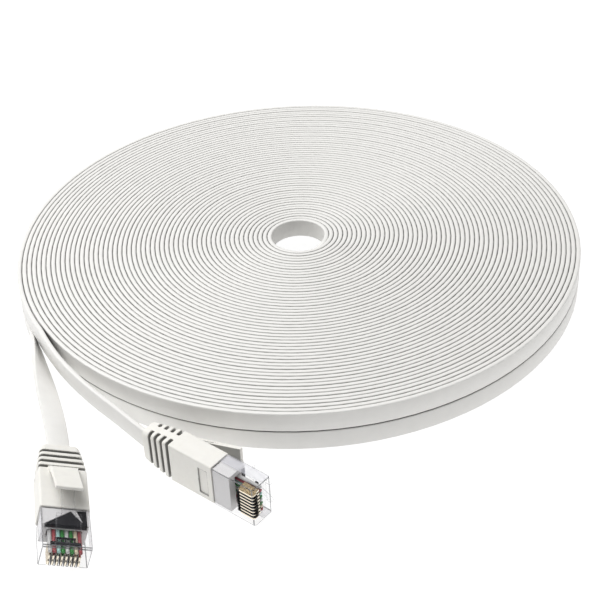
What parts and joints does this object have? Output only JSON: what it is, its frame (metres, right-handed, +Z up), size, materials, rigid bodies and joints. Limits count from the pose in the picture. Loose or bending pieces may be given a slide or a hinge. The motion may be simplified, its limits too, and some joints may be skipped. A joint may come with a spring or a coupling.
{
  "type": "ethernet patch cable",
  "caption": "Flat network patch cable wound as a two-layer pancake coil, with clear modular plugs and snagless boots on both ends.",
  "frame": {"origin": "middle of the whole object's footprint, on the surface that the coil lies on", "axes": "+Z up, along the coil's axis; the plugs lie towards -Y and the coil towards +Y; +X is to the right of someone who stands at the plugs"},
  "size_m": [0.168, 0.2072, 0.015],
  "materials": {
    "jacket": "smooth satin PVC",
    "boot_vinyl": "soft satin vinyl",
    "clear_plastic": "clear polished polycarbonate",
    "gold": "polished gold plating",
    "pale_plastic": "smooth satin",
    "dark_plastic": "glossy black",
    "wire_grey": "satin insulation",
    "wire_red_brown": "satin insulation",
    "wire_teal": "satin insulation",
    "wire_green": "satin insulation",
    "wire_beige": "satin insulation"
  },
  "bodies": {
    "root": {"coil_upper_layer": "jacket", "coil_lower_layer": "jacket", "coil_centre_fold": "jacket", "tail_a": "jacket", "tail_b": "jacket", "boot_a": "boot_vinyl", "plug_body_a": "clear_plastic", "load_bar_a": "dark_plastic", "strain_wedge_a": "dark_plastic", "cable_sleeve_a": "pale_plastic", "contact_a_1": "gold", "contact_a_2": "gold", "contact_a_3": "gold", "contact_a_4": "gold", "contact_a_5": "gold", "contact_a_6": "gold", "contact_a_7": "gold", "contact_a_8": "gold", "wire_a_1": "wire_grey", "wire_a_2": "wire_red_brown", "wire_a_3": "wire_teal", "wire_a_4": "wire_green", "wire_a_5": "wire_grey", "wire_a_6": "wire_green", "wire_a_7": "wire_beige", "wire_a_8": "wire_red_brown", "boot_b": "boot_vinyl", "plug_body_b": "clear_plastic", "load_bar_b": "dark_plastic", "strain_wedge_b": "dark_plastic", "cable_sleeve_b": "pale_plastic", "contact_b_1": "gold", "contact_b_2": "gold", "contact_b_3": "gold", "contact_b_4": "gold", "contact_b_5": "gold", "contact_b_6": "gold", "contact_b_7": "gold", "contact_b_8": "gold", "wire_b_1": "wire_grey", "wire_b_2": "wire_red_brown", "wire_b_3": "wire_teal", "wire_b_4": "wire_green", "wire_b_5": "wire_grey", "wire_b_6": "wire_green", "wire_b_7": "wire_beige", "wire_b_8": "wire_red_brown"},
    "tab_a": {"boot_tab_a": "boot_vinyl"},
    "latch_a": {"latch_a": "clear_plastic"},
    "tab_b": {"boot_tab_b": "boot_vinyl"},
    "latch_b": {"latch_b": "clear_plastic"}
  },
  "joints": [
    {"name": "tab_a_press", "type": "hinge", "parent": "root", "child": "tab_a", "pos_m": [-0.06021, -0.07556, 0.00883], "axis": [0.9321, 0.1485, -0.3305], "range_deg": [0, 11], "stiffness_Nm_per_rad": 0.02},
    {"name": "latch_a_press", "type": "hinge", "parent": "root", "child": "latch_a", "pos_m": [-0.05591, -0.1016, 0.00925], "axis": [-0.9321, -0.1485, 0.3305], "range_deg": [0, 9]},
    {"name": "tab_b_press", "type": "hinge", "parent": "root", "child": "tab_b", "pos_m": [-0.02956, -0.06735, 0.006], "axis": [0, 0, -1], "range_deg": [0, 11], "stiffness_Nm_per_rad": 0.02},
    {"name": "latch_b_press", "type": "hinge", "parent": "root", "child": "latch_b", "pos_m": [-0.00937, -0.08436, 0.006], "axis": [0, 0, 1], "range_deg": [0, 9]}
  ],
  "couplings": [
    {"joint": "latch_a_press", "follows": "tab_a_press", "ratio": 0.8},
    {"joint": "latch_b_press", "follows": "tab_b_press", "ratio": 0.8}
  ]
}
